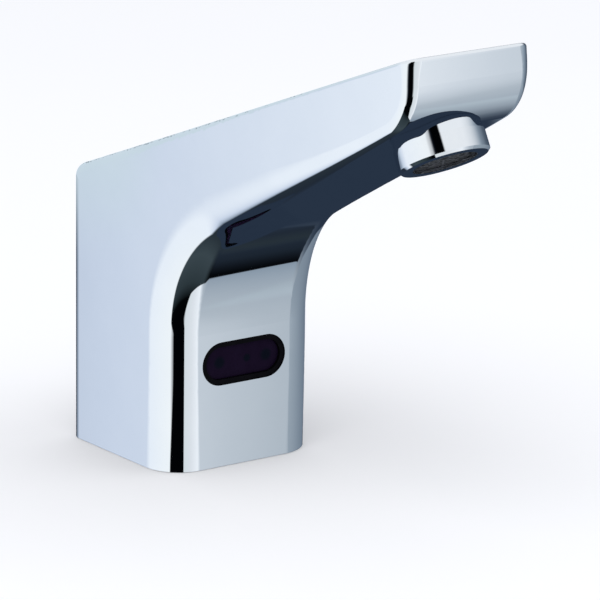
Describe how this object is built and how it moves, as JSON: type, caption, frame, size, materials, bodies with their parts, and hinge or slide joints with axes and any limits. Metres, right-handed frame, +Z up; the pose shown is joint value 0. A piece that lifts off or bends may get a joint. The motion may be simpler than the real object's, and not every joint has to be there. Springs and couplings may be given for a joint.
{
  "type": "sensor tap",
  "caption": "Battery-powered washbasin tap with a wedge-shaped spout, an infrared window in its column and a pilot solenoid valve inside.",
  "frame": {"origin": "centre of the foot, on the surface that the tap stands on", "axes": "+Z up; -Y points the way the spout and the window face; +X is to the right for someone who looks along +Y at the window"},
  "size_m": [0.0601, 0.1661, 0.1531],
  "materials": {
    "chrome": "polished chrome plate",
    "aerator_chrome": "polished chrome plate",
    "grey_plastic": "moulded, fine grain",
    "rubber": "matt moulded rubber",
    "brass": "machined, uncoated",
    "zinc_steel": "zinc plated",
    "steel": "stainless, ground",
    "white_plastic": "moulded acetal",
    "red_rubber": "matt moulded silicone",
    "copper": "enamelled copper wire",
    "dark_plastic": "polished black",
    "lens": "dark purple, polished",
    "board": "green solder mask",
    "cell": "plain shrink sleeve",
    "lead_jacket": "insulated wire"
  },
  "bodies": {
    "tap": {"body_casting": "chrome", "aerator_housing": "aerator_chrome", "aerator_insert": "grey_plastic", "flow_plate": "grey_plastic", "aerator_washer": "rubber", "outlet_elbow": "brass", "spout_tube": "brass", "base_plate": "brass", "base_gasket": "rubber", "base_screws": "zinc_steel", "inlet_riser": "brass", "inlet_filter": "steel", "riser_o_rings": "rubber", "check_valve_cage": "white_plastic", "check_valve_guide": "white_plastic", "check_valve_spring": "steel", "valve_body": "brass", "valve_diaphragm": "red_rubber", "valve_bonnet": "brass", "valve_screws": "zinc_steel", "core_tube": "steel", "coil_bobbin": "white_plastic", "coil_winding": "copper", "coil_yoke": "zinc_steel", "core_nut": "zinc_steel", "plunger_spring": "steel", "tube_o_rings": "rubber", "sensor_case": "dark_plastic", "sensor_lens": "lens", "window_gasket": "rubber", "sensor_board": "board", "ir_emitter": "dark_plastic", "ir_receiver": "dark_plastic", "indicator_lamp": "red_rubber", "case_cover": "grey_plastic", "sensor_screws": "zinc_steel", "battery": "cell", "battery_holder": "grey_plastic", "holder_screws": "zinc_steel", "battery_cap": "grey_plastic", "battery_contacts": "brass", "battery_lead": "lead_jacket", "valve_lead": "lead_jacket"},
    "plunger": {"solenoid_plunger": "steel", "pilot_seal": "red_rubber"},
    "diaphragm": {"diaphragm_plate": "white_plastic"},
    "check_poppet": {"check_valve_poppet": "white_plastic"}
  },
  "joints": [
    {"name": "plunger_lift", "type": "slide", "parent": "tap", "child": "plunger", "axis": [0, 1, 0], "range_m": [0, 0.002], "stiffness_N_per_m": 200, "springref_m": -0.004, "deforming": ["plunger_spring"]},
    {"name": "diaphragm_lift", "type": "slide", "parent": "tap", "child": "diaphragm", "axis": [0, 1, 0], "range_m": [0, 0.0015], "deforming": ["valve_diaphragm"]},
    {"name": "check_valve_lift", "type": "slide", "parent": "tap", "child": "check_poppet", "axis": [0, 0, 1], "range_m": [0, 0.0015], "stiffness_N_per_m": 60, "springref_m": -0.003, "deforming": ["check_valve_spring"]}
  ],
  "couplings": [
    {"joint": "diaphragm_lift", "follows": "plunger_lift", "ratio": 0.75}
  ]
}
